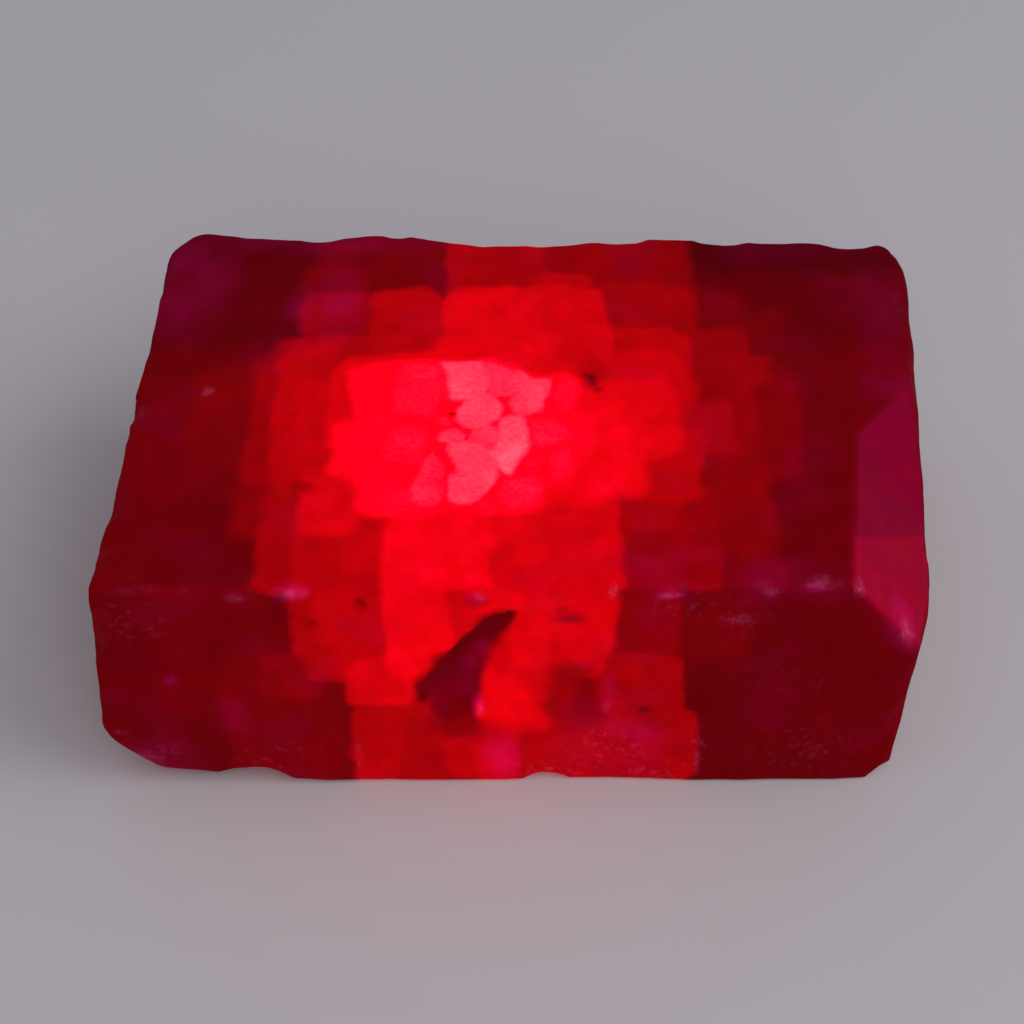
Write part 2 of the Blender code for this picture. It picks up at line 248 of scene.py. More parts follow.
TOP_CORE = {
    (1.31, 0.2): (
        ((-2.0, 3.3), (-1.2, 3.2), (-0.6, 2.6), (-0.7, 0.3), (-1.7, 0.2), (-2.0, 1.2)),
        ((-3.1, -2.6), (-1.9, -2.5), (-1.6, -3.3), (-2.1, -4.0), (-3.2, -3.9)),
    ),
    (1.36, 0.2): (
        ((-4.5, -2.4), (-3.7, -2.8), (-3.6, -3.7), (-4.2, -4.1), (-5.1, -4.0), (-5.3, -3.3)),
        ((-0.7, 2.8), (0.5, 2.3), (0.6, -1.4), (0.0, -1.7), (-0.6, -0.8)),
    ),
    (1.41, 0.2): (
        ((-4.7, -4.1), (-2.2, -4.0), (-1.6, -5.4), (-1.7, -6.8), (-3.7, -6.9), (-4.0, -5.8)),
        ((-4.0, -6.7), (-1.7, -6.6), (-3.0, -9.4), (-3.9, -9.4), (-4.4, -8.2)),
        ((-4.95, 3.6), (-2.35, 3.6), (-2.0, 2.2), (-2.1, 0.1), (-3.4, -0.1), (-4.6, 0.5)),
        ((0.4, 2.3), (1.75, 2.1), (2.0, 1.2), (1.5, -1.1), (0.5, -1.4)),
        (
            (-3.4, 0.1), (-1.7, 0.3), (-0.9, -0.6), (-1.2, -2.2), (-1.8, -2.6), (-3.4, -2.7),
            (-4.1, -2.2), (-4.3, -1.2),
        ),
        (
            (-1.0, -1.8), (0.2, -1.7), (0.4, -2.8), (0.3, -4.6), (-0.1, -5.7), (-0.6, -6.6),
            (-1.1, -6.5), (-1.7, -5.2), (-2.2, -4.1), (-1.5, -2.9),
        ),
    ),
    (1.55, 0.7): (
        ((-1.6, -4.5), (0.2, -3.7), (0.0, -5.6), (-0.6, -6.6), (-1.1, -6.5), (-1.6, -5.4)),
    ),
}
# The seams between the core's grains: painted glow, width of border, and how far they stand out.
CORE_SEAM = (1.25, 0.2, 0.13)

# Inner blocks that show through the front, in the same way, with painted glow: X, Z and half
# sizes.
FRONT_BASE = 0.08
FRONT_BLOCKS = {
    (0.115, 1.5): ((-17.5, 12, 4, 6), (11.2, 13.8, 2, 3.4)),
    (0.14, 1.3): ((-14.0, 6, 3.8, 6.5),),
    (0.19, 0.7): ((-13.8, 9.6, 1.9, 1.8), (7.3, 14.2, 2, 3.2)),
    (0.3, 0.8): ((3.2, 7.6, 2.6, 4),),
    (0.32, 0.35): ((6.6, 8, 2.95, 3.6), (6.5, 3, 4.1, 3.6), (-11.2, 10.6, 1.5, 1.6)),
    (0.36, 0.4): ((-11.6, 14.4, 2, 3.6), (-7.4, 3.4, 2.8, 4.2), (1.8, 2.6, 2.4, 3.4)),
    (0.31, 0.9): ((-5.8, 2.8, 1.3, 2.8),),
    (0.41, 0.8): ((-3.4, 2.6, 1.4, 2.4),),
    (0.44, 0.6): ((-9.8, 13.4, 2.2, 4.2),),
    (0.5, 0.6): ((-1.4, 2, 1.3, 3),),
    (0.56, 0.8): ((-1.2, 14.2, 5.6, 4.4),),
    (0.61, 0.6): ((-8.4, 9.2, 2, 2.1), (2.4, 14.2, 3.1, 3.4)),
    (0.7, 0.8): ((-1.4, 15.8, 1.6, 2.2),),
    (0.6, 1.1): ((-0.4, 7, 1.9, 2.4), (-0.4, 10.4, 1.6, 2.6)),
    (0.58, 0.6): ((-3.6, 14.6, 1.3, 2.6), (2.6, 11.0, 2.3, 2)),
    (0.84, 0.5): ((-6.2, 13.4, 1.9, 4),),
    (0.7, 0.6): ((0.6, 11.8, 1.2, 1.6),),
    (0.76, 0.8): ((-1, 7.5, 1.6, 2),),
}
BLOCK_CORNER = 4.5  # exponent of a block's rounded outline
CORNER_ROUND = 0.5  # mm over which a grain's corners are rounded

# Painted shade in the gouge and the pit, laid over the front's blocks: glow and width of border,
# then the corners of each shade as X and Z, clockwise.
FRONT_SHADES = {
    (0.26, 1.2): (
        (
            (1.9, 10.2), (2.8, 11.0), (4.2, 10.2), (4.9, 8.0), (4.6, 4.8), (2.4, 4.6),
            (1.4, 6.8),
        ),
    ),
    (0.2, 1.2): (
        ((-5.2, 7.2), (-2.9, 7.4), (-2.7, 4.6), (-4.6, 4.2), (-5.6, 5.2)),
        ((3.3, 8.8), (4.4, 8.6), (4.8, 5.8), (3.5, 5.6)),
    ),
    (0.115, 0.85): (
        (
            (-2.0, 15.0), (-0.5, 15.0), (-0.3, 13.9), (-1.0, 12.6), (-1.6, 10.4), (-4.4, 10.0),
            (-4.5, 11.4),
        ),
        (
            (-5.2, 11.2), (-3.0, 11.8), (-1.6, 10.4), (-2.4, 7.8), (-2.8, 6.0), (-4.4, 5.4),
            (-5.6, 7.0), (-6.0, 9.2),
        ),
    ),
    (0.07, 0.9): (
        ((-2.0, 14.8), (-0.6, 14.8), (-0.6, 13.8), (-1.8, 12.4), (-3.3, 11.0), (-4.2, 11.2)),
        ((-5.3, 10.2), (-3.6, 10.6), (-3.8, 8.2), (-5.2, 8.0)),
    ),
}

# Dark specks of other minerals near the surface: centre, radii and strength.
SPECKS = (
    ((4.7, 1.2, 16.9), (0.6, 0.6, 0.6), 0.8),
    ((4.5, 3.0, 16.9), (1.4, 2.0, 0.8), 0.3),
    ((-4.25, -1.4, 16.9), (0.3, 0.3, 0.4), 0.8),
    ((14.8, 8.8, 16.9), (1.3, 1.1, 0.8), 0.5),
    ((-13.0, -7.9, 16.9), (1.1, 0.8, 0.8), 0.5),
    ((-9.3, -16.3, 15.6), (0.6, 0.9, 0.8), 0.8),
    ((-12.1, -16.3, 14.1), (0.6, 0.9, 0.6), 0.5),
    ((7.3, -16.3, 6.4), (0.55, 0.9, 0.6), 0.9),
    ((2.7, -16.3, 14.3), (1.5, 0.9, 0.8), 0.6),
    ((2.3, -16.3, 15.1), (0.6, 0.9, 0.5), 0.4),
    ((-2.6, -16.3, 15.9), (1.3, 1.2, 0.8), 0.45),
    ((-10.8, -16.3, 7.8), (1.5, 1.2, 1.4), 0.25),
)

# Violet haze, partly the stone's own purple and partly painted sheen: centre, radii and strength.
HAZE_AND_SHEEN = (
    ((-21.5, 11.0, 16.9), (4.5, 7.5, 6.0), 0.8),
    ((-14.0, 8.0, 16.9), (1.4, 4.5, 3.0), 0.9),
    ((-11.8, 9.0, 16.9), (2.6, 6.0, 3.0), 0.7),
    ((-12.0, 15.5, 16.9), (10.0, 2.0, 4.0), 0.6),
    ((18.0, 14.8, 16.9), (9.0, 2.4, 5.0), 0.25),
    ((22.8, 8.0, 16.9), (2.4, 9.0, 4.0), 0.4),
    ((22.5, -14.6, 13.6), (2.2, 3.4, 3.4), 2.2),
    ((22.8, 1.0, 16.9), (2.4, 3.4, 4.0), 0.9),
    ((9.0, -14.6, 16.6), (4.5, 2.4, 2.2), 0.6),
    ((15.0, -15.4, 16.6), (6.0, 2.4, 2.2), 0.5),
    ((-17.3, -16.3, 6.0), (1.6, 3.0, 2.6), 0.6),
    ((-22.0, -15.0, 2.0), (4.5, 3.5, 3.6), 1.5),
    ((-1.4, -16.3, 2.2), (1.7, 3.0, 3.4), 1.8),
    ((-2.3, -16.0, 11.0), (0.9, 2.4, 1.5), 0.8),
    ((-3.2, -16.0, 9.6), (0.9, 2.4, 1.6), 0.7),
    ((-3.1, -16.0, 8.2), (0.8, 2.4, 1.4), 0.5),
    ((-2.6, -16.2, 6.9), (0.6, 1.4, 1.1), 1.8),
    ((-2.6, -16.3, 16.2), (0.9, 1.2, 0.8), 1.4),
    ((-13.3, -16.3, 16.5), (1.4, 1.2, 0.8), 2.5),
    ((8.5, -16.3, 16.2), (1.6, 1.2, 0.6), 1.6),
    ((16.6, -16.3, 16.6), (1.6, 1.2, 0.8), 2.0),
    ((-20.7, -16.3, 9.4), (0.6, 1.2, 0.7), 1.4),
    ((2.7, -16.3, 14.2), (1.4, 1.0, 0.9), 1.1),
    ((5.1, -16.3, 7.6), (0.7, 1.4, 3.0), 1.0),
    ((3.6, -16.3, 10.5), (1.2, 1.2, 0.6), 0.5),
    ((5.5, -16.3, 3.5), (5.0, 3.0, 4.0), 0.7),
    ((17.5, -4.8, 16.9), (2.0, 2.4, 3.0), 0.4),
)

# Pale crushed spots on the worn edges: centre, radii and strength.
CRUSHED = (
    ((-13.3, -16.3, 16.5), (1.4, 1.0, 0.5), 0.3),
    ((-16.4, -16.3, 16.2), (1.0, 1.0, 0.4), 0.25),
    ((-2.4, -16.3, 16.4), (0.5, 1.0, 0.6), 0.3),
    ((5.2, -16.3, 16.4), (0.4, 1.0, 0.7), 0.6),
    ((8.4, -16.3, 16.0), (1.1, 1.0, 0.35), 0.45),
    ((12.6, -16.3, 14.0), (1.6, 1.0, 0.7), 0.25),
    ((14.2, -16.3, 16.3), (0.7, 1.0, 0.5), 0.4),
    ((17.2, -15.8, 16.8), (1.3, 1.0, 0.5), 0.32),
    ((19.4, -15.8, 16.6), (0.6, 1.0, 0.9), 0.5),
    ((22.8, -15.6, 12.9), (1.0, 1.6, 1.3), 1.0),
    ((22.0, -15.6, 15.0), (0.8, 1.0, 0.7), 0.4),
    ((-2.5, -16.4, 6.6), (0.3, 1.0, 0.9), 0.3),
    ((5.0, -16.3, 6.7), (0.35, 1.0, 0.7), 0.3),
    ((-19.3, 0.7, 16.9), (0.28, 0.55, 0.5), 1.0),
    ((-23.8, -0.9, 16.8), (0.8, 1.0, 0.8), 1.0),
    ((24.0, -0.6, 16.2), (0.6, 0.8, 0.8), 0.8),
    ((24.4, -6.8, 12.6), (0.5, 0.9, 0.9), 0.6),
    ((-22.8, -15.6, 2.4), (2.2, 1.8, 1.4), 0.7),
    ((-24.0, -15.6, 5.0), (1.0, 1.6, 0.5), 0.5),
    ((10.7, -16.3, 2.0), (0.2, 1.0, 2.2), 0.35),
    ((-9.8, -16.3, 2.6), (0.2, 1.0, 3.0), 0.2),
)

# Stretches of painted sparkle, fine pale glints: centre, radii and strength.
PAINTED_SPARKLES = (
    ((5.2, -16.3, 3.2), (3.4, 1.5, 3.0), 1.0),
    ((10.6, -16.3, 3.0), (0.7, 1.5, 3.4), 0.8),
    ((2.0, -16.3, 1.0), (4.0, 1.5, 1.4), 0.9),
    ((8.0, -16.3, 1.0), (4.0, 1.5, 1.4), 0.8),
    ((17.0, -16.3, 3.0), (5.0, 1.5, 3.6), 0.45),
    ((12.5, -16.3, 14.0), (3.0, 1.5, 2.0), 0.6),
    ((-15.0, -16.3, 2.4), (4.0, 1.5, 2.4), 0.6),
    ((-22.0, -15.6, 3.4), (3.0, 2.0, 3.0), 1.0),
    ((-22.5, -15.8, 14.5), (3.0, 2.4, 3.4), 0.7),
    ((9.5, -16.3, 15.4), (4.0, 1.5, 2.2), 0.5),
    ((16.0, -16.3, 9.0), (6.0, 1.5, 3.0), 0.25),
)

# Fine reliefs: what is added to the seed, shortest and longest wave in mm, and height.
FACE_RELIEF = (5, (0.9, 5.0), 0.03)
BREAK_RELIEF = (8, (1.1, 3.2), 0.06)
BLOCK_BEND = (0, (1.6, 5.0), 0.22)
RIM_BEND = (5, (0.5, 1.4), 0.045)
CELL_BEND = (40, (1.0, 4.0), 0.25)
BROAD_TONE = (20, (3.0, 12.0), 0.05)
FINE_TONE = (21, (0.8, 3.0), 0.07)
CRUSH_GRAIN = (30, (0.5, 2.0), 0.45)
HAZE_SHEEN_PATCHES = (31, (1.5, 5.0), 0.5)
HAZE_SHEEN_VEIL = (32, (1.5, 7.0), 1.0)

MIDDLE_FINENESS = 0.3  # how much closer the surface's points lie in the middle
NEVER = 9.0  # share of a ray, far past the block, for what it doesn't meet
GRAZING = 0.02  # least slope at which a ray still meets a plane
EDGE_WIDTH = 0.9  # mm on each side of an edge that count as its own
SHOULDER_RIM = 0.15  # mm of depth over which the broad bevel begins
RIM_BLEND, GOUGE_RIM = 0.1, 0.6  # mm over which the rims of breaks and gouges are rounded
LEDGE_ROUGHNESS, GOUGE_ROUGHNESS = 2.5, 3  # times the relief of other breaks
CHIPPED_DEPTH, GOUGED_DEPTH = 0.25, 0.8  # mm of depth that count as wholly broken
FACE_BORDER = 0.25  # mm over which the top's glow passes into the front's
FRONT_FADE = (2, 5)  # mm behind the front over which its blocks give way to grains
TOP_FADE = (3, 8)  # mm under the top over which its blocks give way to grains
GRAIN_GAP = 3.3  # mm between scattered grains
GRAIN_BORDER = 0.25  # mm over which one grain's tone passes into the next
CELL_SIZE, CELL_BORDER = 2.1, 0.2  # mm, of the small cells that vary the tone
CELL_TONE, CELL_SEAM = 0.045, 0.03  # how much they lighten or darken, and their seams darken
DARK_GLOW = 0.06  # that specks and the gouge's painted shade darken towards
GOUGE_PAINTED_SHADE = 0.15  # how far the gouge's floor does, as painted shade
SHEEN_VEIL_SHARE = 0.22  # of the haze and painted sheen that drifts all through the stone
WORN_SHARE = 0.22  # of pale crushed stone on chipped edges
DULL_GLOW = 0.3  # edges turn pale where the stone glows less
BRIGHT_GLOW = 0.9  # stone that glows more has no fine tone
SHOULDER_GLOW = (0.11, 0.2)  # painted light of the broad bevel, behind and before its step
SHOULDER_STEP = ((0, 0.695, 0.719), 3.7)  # leaning plane at which its painted light brightens
# Painted sheen on the broad bevel, as its share of the haze.
SHOULDER_SHEEN = 0.8

# Colours of the painted light inside, from no glow to twice the full glow.
GLOW_COLOURS = (
    (0.0, (0, 0, 0)),
    (0.05, (0.085, 0.0, 0.0006)),
    (0.15, (0.29, 0.0, 0.0004)),
    (0.40, (0.80, 0.0, 0.0025)),
    (0.50, (1.0, 0.0, 0.012)),
    (0.56, (1.0, 0.003, 0.03)),
    (0.64, (1.0, 0.02, 0.065)),
    (0.72, (1.0, 0.048, 0.105)),
    (0.80, (1.0, 0.1, 0.17)),
    (1.0, (1.0, 0.25, 0.33)),
)
SHEEN_LIGHT_COLOUR = (0.035, 0.0003, 0.009)  # painted sheen: light that the violet haze adds

FLOOR_REACH = 2.0  # metres from the middle of the floor to its sides
FLOOR_ROUGHNESS = 0.9

# Lamps: place and target in metres, share of the key power, and size in metres.
LAMPS = {
    "key": ((0.34, -0.12, 0.36), (0, -0.02, 0), 0.68, 0.44),
    "fill": ((0.06, -0.46, 0.40), (0, -0.05, 0), 0.62, 0.40),
}
ROOM_COLOUR, ROOM_STRENGTH = (0.9, 0.9, 1.0, 1), 0.33

# Camera: focal length and picture width in pixels, sensor in mm, place in metres, degrees
# that it looks down by, and the nearest that it sees, in metres.
FOCAL_PIXELS, PICTURE_PIXELS = 2600, 1024
SENSOR_WIDTH = 36
CAMERA_PLACE = (-0.0006, -0.119618, 0.122766)
CAMERA_DOWN = 44
CAMERA_NEAR = 0.005


def unit(vector):
    """The same way, at length 1."""
    vector = np.asarray(vector, float)
    return vector / np.linalg.norm(vector)


def face_plane(name):
    """A point on the named face, and its unit normal."""
    point, normal = FACES[name]
    return np.array(point, float), unit(normal)


def face_corner(*names):
    """Where three faces meet: the solution of their three plane equations."""
    planes = [face_plane(name) for name in names]
    normals = np.array([normal for _, normal in planes])
    return np.linalg.solve(normals, [normal @ point for point, normal in planes])


def box_skin(low, high, step):
    """The skin of a box: each side is a grid of two parameters, and sides share edges.
    Along X the share t of the way moves on by fineness * sin(2 pi t) / (2 pi), which
    draws the points together in the middle."""
    counts = np.round((high - low) / step).astype(int)
    grids, quads, used = [], [], 0
    for axis in range(3):
        u, v = (a for a in range(3) if a != axis)
        i, j = np.meshgrid(range(counts[u] + 1), range(counts[v] + 1), indexing="ij")
        index = np.arange(i.size).reshape(i.shape)
        ring = [index[:-1, :-1], index[1:, :-1], index[1:, 1:], index[:-1, 1:]]
        for side in (0, counts[axis]):
            grid = np.empty((i.size, 3), int)
            grid[:, axis], grid[:, u], grid[:, v] = side, i.ravel(), j.ravel()
            outward = ring[::-1] if (side == 0) != (axis == 1) else ring
            quads.append(np.stack(outward, -1).reshape(-1, 4) + used)
            grids.append(grid)
            used += i.size
    grid, index = np.unique(np.concatenate(grids), axis=0, return_inverse=True)
    share = grid / counts
    share[:, 0] += MIDDLE_FINENESS * np.sin(math.tau * share[:, 0]) / math.tau
    return low + (high - low) * share, index.reshape(-1)[np.concatenate(quads)]


def smooth_least(a, b, blend):
    """The lesser of two, rounded where they differ by less than blend."""
    near = np.maximum(blend - np.abs(a - b), 0) / blend
    return np.minimum(a, b) - near**2 * blend / 4


def slow_waves(points):
    """Sum of five sines of the place, each along its own wave."""
    return sum(WAVE_HEIGHT * np.sin(points @ wave + phase) for wave, phase in WAVES)


def fine_relief(points, seed, relief, count=36):
    """Sum of many sines in random directions, each as high as it is long."""
    shift, wavelengths, height = relief
    dice = np.random.default_rng(seed + shift)
    waves = dice.normal(size=(count, 3))
    lengths = np.geomspace(*wavelengths, count)
    waves *= (math.tau / lengths / np.linalg.norm(waves, axis=1))[:, None]
    phases = dice.uniform(0, math.tau, count)
    share = lengths / np.sqrt((lengths**2).sum())
    return height * (np.sin(points @ waves.T + phases) @ share)


def ball_axes(radii, turn=None):
    """Matrix that makes an ellipsoid a unit ball: its turned axes over its radii."""
    turn = np.identity(3) if turn is None else turn
    return turn.T / np.asarray(radii, float)[:, None]


def turn_about(axis, angle):
    """Rotation by an angle about Y or Z."""
    c, s = math.cos(angle), math.sin(angle)
    if axis == "Y":
        return np.array(((c, 0, s), (0, 1, 0), (-s, 0, c)))
    return np.array(((c, -s, 0), (s, c, 0), (0, 0, 1)))


def edge_chips(seed):
    """Balls stretched along the chipped edges at uneven spacing: centre and axes."""
    dice = random.Random(seed)
    chips = []
    for first, second, start_face, end_face in CHIPPED_EDGES:
        start = face_corner(first, second, start_face)
        end = face_corner(first, second, end_face)
        length = np.linalg.norm(end - start)
        along = (end - start) / length
        outward = unit(face_plane(first)[1] + face_plane(second)[1])
        place = dice.uniform(*CHIP_GAP)
        while place < length:
            radius = dice.uniform(*CHIP_RADIUS)
            bite = dice.uniform(*CHIP_BITE)
            stretch = dice.uniform(*CHIP_STRETCH)
            tilt = dice.uniform(-CHIP_TILT, CHIP_TILT)
            dice.uniform(0, math.tau)  # spins the solid's faceted ball, not this round one
            reach = stretch * math.sqrt(2 * radius * bite - bite**2)
            turn = np.stack((along, np.cross(outward, along), outward), 1)
            axes = ball_axes((radius * stretch, radius, radius), turn @ turn_about("Z", tilt))
            centre = start + along * (place + reach) + outward * (radius - bite)
            chips.append((centre, axes))
            place += 2 * reach + dice.uniform(*CHIP_GAP)
    return chips


def sunk_balls(rows):
    """Balls that reach their bite below a point of the surface: centre and axes."""
    return [
        (np.array(place) + unit(facing) * (radius - bite), ball_axes((radius,) * 3))
        for place, facing, radius, bite in rows
    ]


def into_ball(rays, centre, axes):
    """Share of each ray at which it enters and leaves an ellipsoid, from the roots of
    |A (heart + s ray - centre)| = 1, or infinity where it misses."""
    ray, start = rays @ axes.T, axes @ (HEART - centre)
    a, b = (ray**2).sum(1), ray @ start
    inside = b**2 - a * (start @ start - 1)
    root = np.sqrt(np.maximum(inside, 0))
    hit = (inside > 0) & (b < 0)
    return np.where(hit, (-b - root) / a, np.inf), np.where(hit, (root - b) / a, -np.inf)


def meet_plane(rays, reach, plane, rough=True):
    """Share of each ray at which it meets a plane: (plane distance + relief) / (normal . ray),
    or NEVER where it runs along the plane or away from it."""
    point, normal = plane
    normal = unit(normal)
    gap, lean = normal @ (np.array(point, float) - HEART), rays @ normal
    lean = np.where(lean > GRAZING * reach, lean, np.nan)
    at = HEART + rays * (gap / lean)[:, None]
    relief = slow_waves(at) + fine_relief(at, 0, FACE_RELIEF) if rough else 0
    return np.nan_to_num((gap + relief) / lean, nan=NEVER)


def into_planes(rays, reach, planes):
    """Share of each ray at which it is past all the planes: the greatest of their own."""
    last = np.zeros(len(rays))
    for plane in planes:
        last = np.maximum(last, meet_plane(rays, reach, plane))
    return last


def ledge_planes(place, facing, along, half_length, half_width):
    """The floor of a ledge, and its four sides, which lean back from it."""
    facing = unit(facing)
    along = unit(np.array(along, float) - facing * (facing @ along))
    across = np.cross(facing, along)
    walls = [
        (place + way * side * half, facing * LEDGE_SLOPE - way * side)
        for way, half in ((along, half_length), (across, half_width))
        for side in (1, -1)
    ]
    return [(place, facing), *walls]


def bite_out(share, reach, blend, enter, leave, ripple=0):
    """Takes a cutter off: each ray ends where it enters it, if that is sooner."""
    enter = enter + ripple / reach
    cut = np.where((leave > share) & np.isfinite(enter), enter, share + NEVER * blend)
    return smooth_least(share, cut, blend)


def worn_box(rays, reach, wear):
    """Share of each ray at which it meets the block's faces: the smoothly least of theirs,
    so that the edges are worn round. Also how near an edge this is, from 0 to 1."""
    found = [meet_plane(rays, reach, FACES[name], name != "base") for name in FACES]
    share = found[0]
    for other in found[1:]:
        share = smooth_least(share, other, wear)
    least, second = nearest_two(found)
    return share, np.exp(-(((second - least) * reach / EDGE_WIDTH) ** 2))


def block_surface(step, wear, seed):
    """Ends of rays from the heart of the block through a box's skin: on the worn box or,
    sooner, where a ray enters a chip, hollow, ledge or gouge. Also masks from 0 to 1 of
    what lies at an edge, is chipped, is gouged or is on the broad bevel."""
    skin, quads = box_skin(LOW, HIGH, step)
    rays = skin - HEART
    reach = np.linalg.norm(rays, axis=1)
    blend = 4 * wear / reach
    share, edge = worn_box(rays, reach, blend)

    shoulder = into_planes(rays, reach, SHOULDER)
    broad = np.clip((share - shoulder) * reach / SHOULDER_RIM + 0.5, 0, 1)
    share = smooth_least(share, shoulder, blend / 2)
    ripple = fine_relief(HEART + rays * share[:, None], 0, BREAK_RELIEF)

    crisp = RIM_BLEND / reach
    whole = share
    for ball in edge_chips(seed) + sunk_balls(HOLLOWS.values()):
        share = bite_out(share, reach, crisp, *into_ball(rays, *ball), ripple)
    for ledge in LEDGES.values():
        cut = into_planes(rays, reach, ledge_planes(*ledge))
        share = smooth_least(share, cut + LEDGE_ROUGHNESS * ripple / reach, crisp)
    chipped = np.clip((whole - share) * reach / CHIPPED_DEPTH, 0, 1)

    whole = share
    holes = [(place, facing, size, size) for place, facing, size in PINHOLES]
    for ball in sunk_balls(holes):
        share = bite_out(share, reach, crisp, *into_ball(rays, *ball))
    for centre, radii, lean in GOUGES:
        ball = np.array(centre), ball_axes(radii, turn_about("Y", lean))
        rough, soft = GOUGE_ROUGHNESS * ripple, GOUGE_RIM / reach
        share = bite_out(share, reach, soft, *into_ball(rays, *ball), rough)
    gouged = np.clip((whole - share) * reach / GOUGED_DEPTH, 0, 1)
    masks = {"edge": edge, "chipped": chipped, "gouged": gouged, "broad": broad}
    return HEART + rays * share[:, None], quads, masks


def spots(points, rows):
    """Greatest of soft ellipsoids: strength * (1 - (distance over radii)^2)^2 inside."""
    shade = np.zeros(len(points))
    for centre, radii, strength in rows:
        away = (((points - centre) / radii) ** 2).sum(1)
        shade = np.maximum(shade, strength * np.maximum(1 - away, 0) ** 2)
    return shade


def scattered_grains(seed):
    """Grains at random on the skin, at least GRAIN_GAP apart: their centres and painted glows.
    The glow is greatest behind and below the middle."""
    dice = np.random.default_rng(seed)
    places = LOW + (HIGH - LOW) * dice.uniform(size=(900, 3))
    side = np.argmin(np.minimum(places - LOW, HIGH - places), axis=1)
    row = np.arange(len(places))
    near_low = (places - LOW < HIGH - places)[row, side]
    places[row, side] = np.where(near_low, LOW[side], HIGH[side])
    kept = list(places[:1])
    for place in places:
        if np.linalg.norm(np.array(kept) - place, axis=1).min() > GRAIN_GAP:
            kept.append(place)
    kept = np.array(kept)
    behind = np.clip(kept[:, 1] / HALF_DEPTH, 0, 1)
    middle = np.exp(-((kept[:, 0] / 8) ** 2))
    below = np.exp(-((kept[:, 2] / 5) ** 2) - (kept[:, 1] / 12) ** 2)
    glows = 0.09 + 0.24 * middle * behind + 0.6 * middle * below
    return kept, glows * dice.uniform(0.7, 1.15, len(glows))


def bend(points, seed, relief):
    """Moves each point by three random reliefs, one along each axis."""
    moves = [fine_relief(points, seed + axis, relief, 18) for axis in range(3)]
    return points + np.stack(moves, 1)


def smooth_step(value, low, high):
    """Smooth step 3 t^2 - 2 t^3, with t the way from low to high."""
    t = np.clip((value - low) / (high - low), 0, 1)
    return t * t * (3 - 2 * t)


def lay_block(glow, u, v, level, place, border):
    """Lays a rounded block over a glow. Its outline is |du / a|^n + |dv / b|^n = 1, and its
    share passes from 0 to 1 over its border."""
    middle_u, middle_v, half_u, half_v = place
    n = BLOCK_CORNER
    away = (np.abs((u - middle_u) / half_u) ** n + np.abs((v - middle_v) / half_v) ** n) ** (1 / n)
    inward = (1 - away) * min(half_u, half_v)
    return glow + (level - glow) * smooth_step(inward, -border / 2, border / 2)


def stacked_blocks(u, v, base, blocks, seed):
    """Glow of all the blocks of a face, laid over each other in their order."""
    dice = random.Random(seed)
    glow = np.full(len(u), base)
    for (level, border), places in blocks.items():
        for place in places:
            glow = lay_block(glow, u, v, level * dice.uniform(0.96, 1.04), place, border)
    return glow


def nearest_two(ways):
    """Least and second least of many distances."""
    least = second = np.full(len(ways[0]), np.inf)
    for away in ways:
        second = np.minimum(second, np.maximum(least, away))
        least = np.minimum(least, away)
    return least, second


def shared_tone(ways, tones, least, border):
    """Tone of the nearest centre. Near a border the centres share the point by
    exp((least distance - distance) / border), which softens it."""
    total = weight = 0
    for away, tone in zip(ways, tones):
        share = np.exp((least - away) / border)
        total, weight = total + share * tone, weight + share
    return total / weight


def lay_grain(glow, u, v, level, corners, border, grow=0.0):
    """Lays a straight-sided grain over a glow. A point is as far inside it as from the
    nearest side, rounded at the corners; grow mm are added all round."""
    inward = np.full(len(u), np.inf)
    for (u0, v0), (u1, v1) in zip(corners, corners[1:] + corners[:1]):
        along_u, along_v = u1 - u0, v1 - v0
        side = ((u - u0) * along_v - (v - v0) * along_u) / math.hypot(along_u, along_v)
        inward = smooth_least(inward, side, CORNER_ROUND)
    return glow + (level - glow) * smooth_step(inward + grow, -border / 2, border / 2)


def stacked_grains(glow, u, v, grains, border=None, level=None, grow=0.0):
    """Lays all the grains over a glow in their order, or all at one level and border."""
    for (own_level, own_border), outlines in grains.items():
        for corners in outlines:
            tone, width = level or own_level, border or own_border
            glow = lay_grain(glow, u, v, tone, corners, width, grow)
    return glow


def core_grains(glow, u, v):
    """The grains of the middle: first the warm ones, then the seams of the hot ones as
    these grains drawn larger, and the hot ones over them."""
    seam_glow, seam_border, stand_out = CORE_SEAM
    glow = stacked_grains(glow, u, v, TOP_GRAINS)
    glow = stacked_grains(glow, u, v, TOP_CORE, seam_border, seam_glow, stand_out)
    return stacked_grains(glow, u, v, TOP_CORE)


def grain_glow(points, seed):
    """Glow of the scattered grains, each point taking that of the nearest centre."""
    centres, glows = scattered_grains(seed)
    ways = [np.linalg.norm(points - centre, axis=1) for centre in centres]
    return shared_tone(ways, glows, nearest_two(ways)[0], GRAIN_BORDER)


def inner_glow(points, seed):
    """Painted glow of the block: the top's and the front's blocks near those faces, and scattered
    grains elsewhere."""
    bent = bend(bend(points, seed, BLOCK_BEND), seed, RIM_BEND)
    x, y, z = bent.T
    top = core_grains(stacked_blocks(x, y, TOP_BASE, TOP_BLOCKS, seed), x, y)
    front = stacked_blocks(x, z, FRONT_BASE, FRONT_BLOCKS, seed)
    front = stacked_grains(front, x, z, FRONT_SHADES)
    under_top, behind_front = HEIGHT - z, y - FRONT_Y
    to_front = smooth_step(under_top - behind_front, -FACE_BORDER, FACE_BORDER)
    near_front = to_front * (1 - smooth_step(behind_front, *FRONT_FADE))
    near_top = (1 - to_front) * (1 - smooth_step(under_top, *TOP_FADE))
    far = grain_glow(bent, seed)
    return near_front * front + near_top * top + (1 - near_front - near_top) * far


